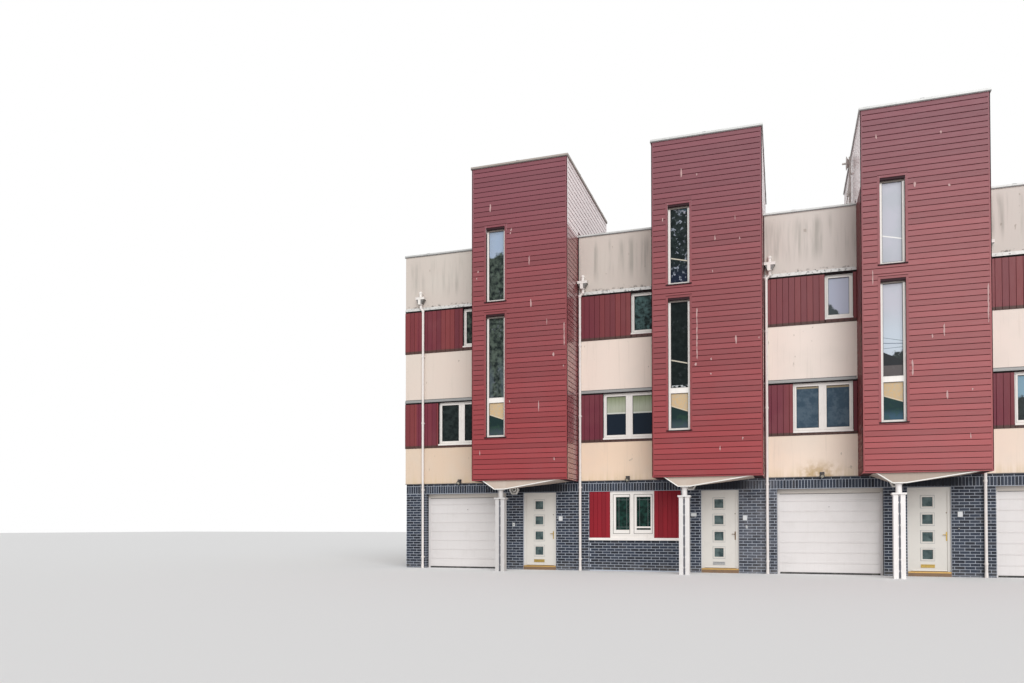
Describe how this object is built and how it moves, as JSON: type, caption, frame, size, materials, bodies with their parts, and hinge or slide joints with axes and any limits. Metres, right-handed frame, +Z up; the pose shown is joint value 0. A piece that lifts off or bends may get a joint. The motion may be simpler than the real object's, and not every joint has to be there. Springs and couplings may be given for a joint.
{
  "type": "terraced house row",
  "caption": "Row of modern terraced houses with boarded stair towers over the front doors, cream render, red board bands and a dark brick ground storey.",
  "frame": {"origin": "centre of the whole box at ground level", "axes": "+Z up, +X along the row from the left end to the right as seen from the front, -Y out of the front"},
  "size_m": [20.42, 10.375, 11.28],
  "materials": {
    "concrete": "plain float finish",
    "cream_render": "fine textured render, streaked with dirt",
    "blue_brick": "dark blue-grey brick with light mortar",
    "deep_red_boards": "painted upright boards",
    "maroon_boards": "painted level boards, weathered",
    "grey_metal": "dull mill finish",
    "white_frame": "semi-gloss white",
    "window_glass": "clear, mirror-like from outside",
    "soffit_board": "painted board",
    "white_steel": "satin white paint",
    "garage_white": "satin white paint with fine emboss",
    "threshold_brass": "worn brass on a dark step",
    "back_door_white": "semi-gloss white",
    "white_pipe": "semi-gloss white",
    "lamp_white": "weathered white enamel round obscured glass",
    "dark_lamp": "dark satin paint",
    "door_white": "off-white moulded door skin",
    "door_glass": "obscured glass",
    "door_brass": "polished brass"
  },
  "bodies": {
    "house_row": {"ground_floor": "concrete", "first_floor": "concrete", "second_floor": "concrete", "main_roof": "concrete", "tower_floors": "concrete", "party_walls": "concrete", "tower_roofs": "concrete", "end_walls": "cream_render", "render_walls": "cream_render", "parapets": "cream_render", "brick_end_walls": "blue_brick", "brick_walls": "blue_brick", "brick_head_course": "blue_brick", "under_window_walls": "blue_brick", "board_walls": "deep_red_boards", "tower_fronts": "maroon_boards", "tower_cheeks": "maroon_boards", "tower_upper_sides": "maroon_boards", "tower_backs": "maroon_boards", "parapet_copings": "grey_metal", "flashings": "grey_metal", "tower_copings": "grey_metal", "aerial_mast": "grey_metal", "window_frames": "white_frame", "tower_windows": "white_frame", "door_frames": "white_frame", "door_hinges": "white_frame", "window_glass": "window_glass", "tower_glass": "window_glass", "soffits": "soffit_board", "columns": "white_steel", "garage_frames": "garage_white", "garage_doors": "garage_white", "thresholds": "threshold_brass", "back_doors": "back_door_white", "downpipes": "white_pipe", "hoppers": "white_pipe", "porch_lamps": "lamp_white", "wall_lights": "dark_lamp"},
    "front_door_1": {"front_door_1": "door_white", "door_glass_1": "door_glass", "door_furniture_1": "door_brass"},
    "front_door_2": {"front_door_2": "door_white", "door_glass_2": "door_glass", "door_furniture_2": "door_brass"},
    "front_door_3": {"front_door_3": "door_white", "door_glass_3": "door_glass", "door_furniture_3": "door_brass"},
    "front_door_4": {"front_door_4": "door_white", "door_glass_4": "door_glass", "door_furniture_4": "door_brass"}
  },
  "joints": [
    {"name": "front_door_hinge_1", "type": "hinge", "parent": "house_row", "child": "front_door_1", "pos_m": [-6.383, -3.7975, 1.13], "axis": [0, 0, 1], "range_deg": [0, 90]},
    {"name": "front_door_hinge_2", "type": "hinge", "parent": "house_row", "child": "front_door_2", "pos_m": [-1.383, -3.7975, 1.13], "axis": [0, 0, 1], "range_deg": [0, 90]},
    {"name": "front_door_hinge_3", "type": "hinge", "parent": "house_row", "child": "front_door_3", "pos_m": [3.617, -3.7975, 1.13], "axis": [0, 0, 1], "range_deg": [0, 90]},
    {"name": "front_door_hinge_4", "type": "hinge", "parent": "house_row", "child": "front_door_4", "pos_m": [8.617, -3.7975, 1.13], "axis": [0, 0, 1], "range_deg": [0, 90]}
  ]
}
